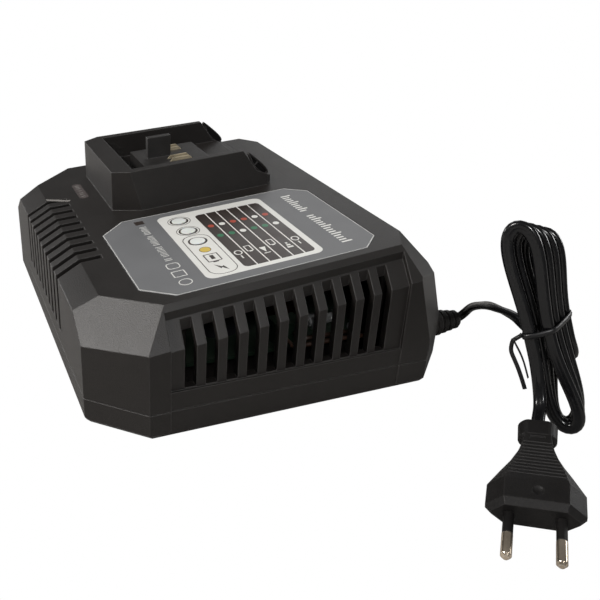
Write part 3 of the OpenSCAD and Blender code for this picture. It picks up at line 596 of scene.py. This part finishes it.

# pierced lug at the end of each dock wall: a rounded rim with a bridge over a near-black sheet, painted
# shade where the hole is in shade
lug = {
    "walls": ((-9.9, (-0.5, -0.1)), (-80.1, (0.5, 0.1))),  # place, and the two faces of the painted-shade sheet beside it
    "rim": 0.62,
    "rimPoints": 10,
    "between": 4,
    "bridgeShare": 0.7,  # of the rim's section
    "outline": [(21.5, 84.3), (23.2, 83.4), (25.7, 81.5), (29.3, 78.6), (32.1, 75.9), (33.3, 74.1),
                (33, 73.1), (31.5, 72.8), (28.8, 74), (26.1, 76.3), (24.2, 78.9), (22.8, 81.8)],
    "bridge": [(23.4, 77.2), (24.3, 77.4), (25.9, 78), (27.8, 79.9), (28.4, 80.4)],
}


def lugTube(name, pts, share):
    angles = [2 * math.pi * k / lug["rimPoints"] for k in range(lug["rimPoints"])]
    section = [(lug["rim"] * share * math.cos(a), lug["rim"] * share * math.sin(a)) for a in angles]
    pts, ways = zip(*smoothRoute(pts, [across] * len(pts), lug["between"]))
    tubeMesh(name, pts, ways, section, "housing")


for number, (x, shadeSheetSides) in enumerate(lug["walls"], 1):
    loop = [Vector((x, y, z)) for y, z in lug["outline"]]
    lugTube("dock_lug_rim_%d" % number, [loop[-1]] + loop + loop[:2], 1)
    bridge = [Vector((x, y, z)) for y, z in lug["bridge"]]
    lugTube("dock_lug_bridge_%d" % number, bridge, lug["bridgeShare"])
    n = len(loop)
    # near-black sheet filling the hole: painted shade
    flat = [(v + across * d) * mm for d in shadeSheetSides for v in loop]
    faces = [tuple(range(n)), tuple(range(n, 2 * n))]
    faces += [(k, (k + 1) % n, n + (k + 1) % n, n + k) for k in range(n)]
    addMesh("dock_lug_shade_sheet_%d" % number, flat, faces, "pocket")
say("lugs")

# print and a pale bar: thin layers on the case's top; x runs from its right side, y from its front
slope = {
    "corner": (107, -88),
    "top": (52.1, 0.126),  # height at the front, and rise for each millimetre back
    "front": (46.89, 0.634),
    "sunk": 0.1,
}
layers = {"ground": 0.03, "edge": 0.04, "low": 0.05, "middle": 0.06, "high": 0.07, "top": 0.08}


def slopeAt(x, y, h):
    z = min(low + rise * y for low, rise in (slope["top"], slope["front"]))
    return Vector((x + slope["corner"][0], y + slope["corner"][1], z + h)) * mm


def roundBox(x0, y0, x1, y1, r, n=6):
    out = []
    places = ((x1 - r, y1 - r, 0), (x0 + r, y1 - r, 90), (x0 + r, y0 + r, 180), (x1 - r, y0 + r, 270))
    for cx, cy, start in places:
        for k in range(n + 1):
            a = math.radians(start + 90 * k / n)
            out.append((cx + r * math.cos(a), cy + r * math.sin(a)))
    return out


def oval(cx, cy, rx, ry, n=28):
    angles = [2 * math.pi * k / n for k in range(n)]
    return [(cx + rx * math.cos(a), cy + ry * math.sin(a)) for a in angles]


def box(x0, y0, x1, y1):
    return [(x0, y0), (x1, y0), (x1, y1), (x0, y1)]


def moved(shape, x, y):
    return [(x + px, y + py) for px, py in shape]


def frameOf(x0, y0, x1, y1, r, w):
    # a pair of outlines, w apart
    return roundBox(x0, y0, x1, y1, r), roundBox(x0 + w, y0 + w, x1 - w, y1 - w, max(0.2, r - w))


def ringOf(x, y, outer, inside):
    return oval(x, y, outer, outer), oval(x, y, inside, inside)


def thinLayer(name, look, layer, shapes):
    # shapes: an outline, or a pair (outer, inner) for a frame
    verts, faces = [], []
    for s in shapes:
        loops = s if isinstance(s, tuple) else (s,)
        n = len(loops[0])
        o = len(verts)
        for loop in loops:
            verts += [slopeAt(x, y, -slope["sunk"]) for x, y in loop]
            verts += [slopeAt(x, y, layers[layer]) for x, y in loop]
        for k in range(n):
            m = (k + 1) % n
            faces.append((o + k, o + m, o + n + m, o + n + k))
            if len(loops) > 1:
                faces.append((o + 2 * n + m, o + 2 * n + k, o + 3 * n + k, o + 3 * n + m))
                faces.append((o + n + k, o + n + m, o + 3 * n + m, o + 3 * n + k))
                faces.append((o + m, o + k, o + 2 * n + k, o + 2 * n + m))
        if len(loops) == 1:
            faces.append(tuple(range(o, o + n)))
            faces.append(tuple(range(o + n, o + 2 * n)))
    return addMesh(name, verts, faces, look)


# plain signs of the table's third column, each drawn round its own place
signSizes = {
    "ring": {"outer": (2.4, 1.9), "inner": (1.8, 1.3), "dash": (3.4, -0.3, 6.4, 0.3)},
    "cell": {"frame": (-3, -1.6, 3, 1.6), "round": 0.5, "line": 0.5, "knob": (3, -0.7, 3.7, 0.7)},
    "arrow": {"head": [(-3, -1.5), (2.4, 0), (-3, 1.5)], "stop": (3.2, -1.5, 3.9, 1.5)},
    "steps": {"count": 3, "pitch": 2.2, "sides": (-3, -1.6), "half": 0.5, "growth": 0.45},
}


def ringSign(x, y):
    s = signSizes["ring"]
    return [(oval(x, y, *s["outer"]), oval(x, y, *s["inner"])), moved(box(*s["dash"]), x, y)]


def cellSign(x, y):
    s = signSizes["cell"]
    x0, y0, x1, y1 = s["frame"]
    return [frameOf(x + x0, y + y0, x + x1, y + y1, s["round"], s["line"]), moved(box(*s["knob"]), x, y)]


def arrowSign(x, y):
    s = signSizes["arrow"]
    return [moved(s["head"], x, y), moved(box(*s["stop"]), x, y)]


def stepSign(x, y):
    s = signSizes["steps"]
    (left, right), out = s["sides"], []
    for k in range(s["count"]):
        over, half = s["pitch"] * k, s["half"] + s["growth"] * k
        out.append(box(x + left + over, y - half, x + right + over, y + half))
    return out


label = {
    "panel": (-98.4, 53.2, -22.8, 108, 4),
    "table": (-92, 71, -26, 105),
    "tableRound": 2.4,
    "rows": 6,
    "rule": 0.28,  # half width of the lines between rows
    "lenses": ((-89.2, 62.4), (-75.6, 62.4), (-62.1, 62.4)),
    "lensRing": (4.5, 3.6),
    "outerRing": (5.6, 5.3),  # round the first two
    "yellow": (-51.6, 62.2, 2.6, 2.4),
    "yellowRing": (-51.6, 62.2, 2.9, 2.7),
    "group": (-69.4, 56, -25, 69, 5.5, 0.35),
    "cell": (-46.4, 59, -38.2, 65.6, 0.6, 0.5),
    "cellParts": ((-38.2, 61, -37.3, 63.6), (-44.8, 61.4, -40.6, 63.2)),
    "bolt": [(-35, 60.2), (-30.2, 61.9), (-31, 62.6), (-27.6, 64.6), (-32.6, 63.6), (-31.8, 62.8)],
    "dot": (1.8, 1.5),
    "firstDots": (-75.5, {"red": (0, 2, 3, 5), "white": (1, 4)}),  # place of the column, and its rows
    "secondDots": (-62.8, {"green": (0, 1, 3, 4), "white": (2, 5)}),
    "signs": ((-41, ringSign), (-43, cellSign), (-38, arrowSign), (-44, cellSign), (-37, stepSign),
              (-42, ringSign)),
}
tableX0, tableY0, tableX1, tableY1 = label["table"]
rows = [tableY0 + (tableY1 - tableY0) * k / label["rows"] for k in range(label["rows"] + 1)]
mids = [(a + b) / 2 for a, b in zip(rows, rows[1:])]


def dots(column, tone):
    x, tones = label[column]
    return [oval(x, mids[k], *label["dot"]) for k in tones[tone]]


rings = [ringOf(x, y, *label["lensRing"]) for x, y in label["lenses"]]
rings += [ringOf(x, y, *label["outerRing"]) for x, y in label["lenses"][:2]]
rings += [(oval(*label["yellowRing"]), oval(*label["yellow"])), frameOf(*label["group"])]
rings += [frameOf(*label["cell"])] + [box(*part) for part in label["cellParts"]] + [label["bolt"]]
rules = [box(tableX0, y - label["rule"], tableX1, y + label["rule"]) for y in rows[1:-1]]
signs = dots("firstDots", "white") + dots("secondDots", "white")
for (x, sign), y in zip(label["signs"], mids):
    signs += sign(x, y)
thinLayer("print_panel", "printWhite", "ground", [roundBox(*label["panel"])])
thinLayer("print_table", "printDark", "low", [roundBox(*label["table"], label["tableRound"])])
thinLayer("print_lens_rings", "printDark", "middle", rings)
thinLayer("print_yellow", "printYellow", "middle", [oval(*label["yellow"])])
thinLayer("print_lines", "printWhite", "high", rules)
thinLayer("print_red", "printRed", "top", dots("firstDots", "red"))
thinLayer("print_green", "printGreen", "top", dots("secondDots", "green"))
thinLayer("print_signs", "printWhite", "top", signs)

# pale grey bar and printed badge in front of the dock
badge = {
    "bar": [(-155.9, 10.4), (-153.4, 10.4), (-145.7, 20.6), (-147.3, 21.8)],
    "plate": (-171, 26.6, -146.6, 31.4, 2.2),
    "marks": (-168, -165.6, -163.2, -159.4, -156, -153.6, -150.2),
    "mark": (0, 27.9, 0.7, 30.1),
}
badgeMarks = [moved(box(*badge["mark"]), x, 0) for x in badge["marks"]]
# pale grey bar on the sloping top near the first vent slot
thinLayer("pale_bar", "greyPrintAndBar", "middle", [badge["bar"]])
thinLayer("print_badge", "printFaint", "low", [roundBox(*badge["plate"])])
thinLayer("print_badge_marks", "greyPrintAndBar", "high", badgeMarks)

# small marks and a border round the panel
marks = {
    "side": {"places": ((-43, 1.8), (-34.5, 0.4), (-26, 2.9)), "half": 2.9, "y": (41.6, 47.4), "line": 0.4},
    "ticks": {"start": -91.5, "pitch": 1.55, "count": 28, "group": 9, "blank": 7, "width": 0.6,
              "y": (43.1, 46.3), "every": 3, "shorter": 0.5},
    "scale": {"start": -93, "pitch": 2.5, "count": 27, "blanks": (10, 11), "width": 1.1,
              "y": (118.6, 122.2), "every": 4, "longer": 1.6},
    "box": (-99.4, 42.5, -95, 46.9),
    "plate": (-103.7, 25.4, -16.3, 135.1),
    "lowCut": (12.2, 12.1),
    "highCut": (9.5, 9.4),
    "border": (0.35, 0.6),
}


def sideMarks(places, half, y, line):
    return [frameOf(x - half, y[0], x + half, y[1], r, line) for x, r in places]


def tickMarks(start, pitch, count, group, blank, width, y, every, shorter):
    # each third tick, from the second on, is shorter
    places = [start + pitch * k for k in range(count) if k % group != blank]
    return [box(x, y[0] + shorter * (k % every == 1), x + width, y[1]) for k, x in enumerate(places)]


def scaleMarks(start, pitch, count, blanks, width, y, every, longer):
    # each fourth mark, from the first on, is longer
    places = [start + pitch * k for k in range(count) if k not in blanks]
    return [box(x, y[0], x + width, y[1] + longer * (k % every == 0)) for k, x in enumerate(places)]


def plateEdge(g):
    # outline of the label plate, pulled in by g
    x0, y0, x1, y1 = marks["plate"]
    x0, y0, x1, y1 = x0 + g, y0 + g, x1 - g, y1 - g
    (lowX, lowY), (highX, highY) = marks["lowCut"], marks["highCut"]
    return [(x0, y0 + lowY), (x0 + lowX, y0), (x1 - lowX, y0), (x1, y0 + lowY),
            (x1, y1 - highY), (x1 - highX, y1), (x0 + highX, y1), (x0, y1 - highY)]


thinLayer("print_side_marks", "printWhite", "low", sideMarks(**marks["side"]))
thinLayer("print_ticks", "printLight", "low", tickMarks(**marks["ticks"]))
thinLayer("print_scale", "printWhite", "low", scaleMarks(**marks["scale"]))
thinLayer("print_side_box", "printDark", "low", [box(*marks["box"])])
thinLayer("print_border", "printLight", "edge", [tuple(plateEdge(g) for g in marks["border"])])
say("print")

# floor and light; floor and sky are plain white to the camera
stage = {
    "floor": (0.4, 0.39, 0.375, 1),
    "floorRough": 0.9,
    "half": 2,
    "sky": 0.14,
    "white": (1, 1, 1, 1),
    "lights": [
        dict(name="key", place=(0.05, -1.02, 0.85), target=(0, 0, 0.03), size=(0.45, 0.3), power=15.5,
             color=(1, 0.975, 0.95)),
        dict(name="fill", place=(0.85, -0.12, 0.6), target=(0.12, 0.03, 0.03), size=(0.14, 0.14), power=3.8),
        dict(name="backSheen", place=(-0.85, 0.55, 0.6), target=(0, 0, 0.05), size=(0.6, 0.4), power=1.2),
        dict(name="backLow", place=(0.1, 1.2, 0.3), target=(0, 0, 0.04), size=(0.5, 0.25), power=3),
        dict(name="leftLow", place=(-0.95, -0.8, 0.25), target=(0, 0, 0.04), size=(0.4, 0.25), power=4),
    ],
}


def whiteForCamera(tree, lit, plain, surface):
    pick = node(tree, "ShaderNodeMixShader")
    tree.links.new(node(tree, "ShaderNodeLightPath").outputs["Is Camera Ray"], pick.inputs["Fac"])
    tree.links.new(lit.outputs[0], pick.inputs[1])
    tree.links.new(plain.outputs[0], pick.inputs[2])
    tree.links.new(pick.outputs[0], surface)


floorMat = bpy.data.materials.new("floorWhite")
floorMat.use_nodes = True
floorTree = floorMat.node_tree
floorShader = floorTree.nodes["Principled BSDF"]
floorShader.inputs["Base Color"].default_value = stage["floor"]
floorShader.inputs["Roughness"].default_value = stage["floorRough"]
floorPlain = node(floorTree, "ShaderNodeEmission", Color=stage["white"])
whiteForCamera(floorTree, floorShader, floorPlain, floorTree.nodes["Material Output"].inputs["Surface"])

half = stage["half"]
floorMesh = bpy.data.meshes.new("floor")
floorMesh.from_pydata([(x, y, 0) for x, y in box(-half, -half, half, half)], [], [(0, 1, 2, 3)])
floorMesh.materials.append(floorMat)
floor = bpy.data.objects.new("floor", floorMesh)
scene.collection.objects.link(floor)

world = bpy.data.worlds.new("world")
world.use_nodes = True
scene.world = world
worldTree = world.node_tree
sky = worldTree.nodes["Background"]
sky.inputs["Color"].default_value = stage["white"]
sky.inputs["Strength"].default_value = stage["sky"]
skyPlain = node(worldTree, "ShaderNodeBackground", Color=stage["white"])
whiteForCamera(worldTree, sky, skyPlain, worldTree.nodes["World Output"].inputs["Surface"])


def softLight(name, place, target, size, power, color=(1, 1, 1)):
    d = bpy.data.lights.new(name, "AREA")
    d.shape = "RECTANGLE"
    d.size, d.size_y = size
    d.energy = power
    d.color = color
    o = bpy.data.objects.new(name, d)
    scene.collection.objects.link(o)
    o.location = place
    o.rotation_euler = (Vector(target) - Vector(place)).to_track_quat("-Z", "Y").to_euler()


for settings in stage["lights"]:
    softLight(**settings)
say("light")
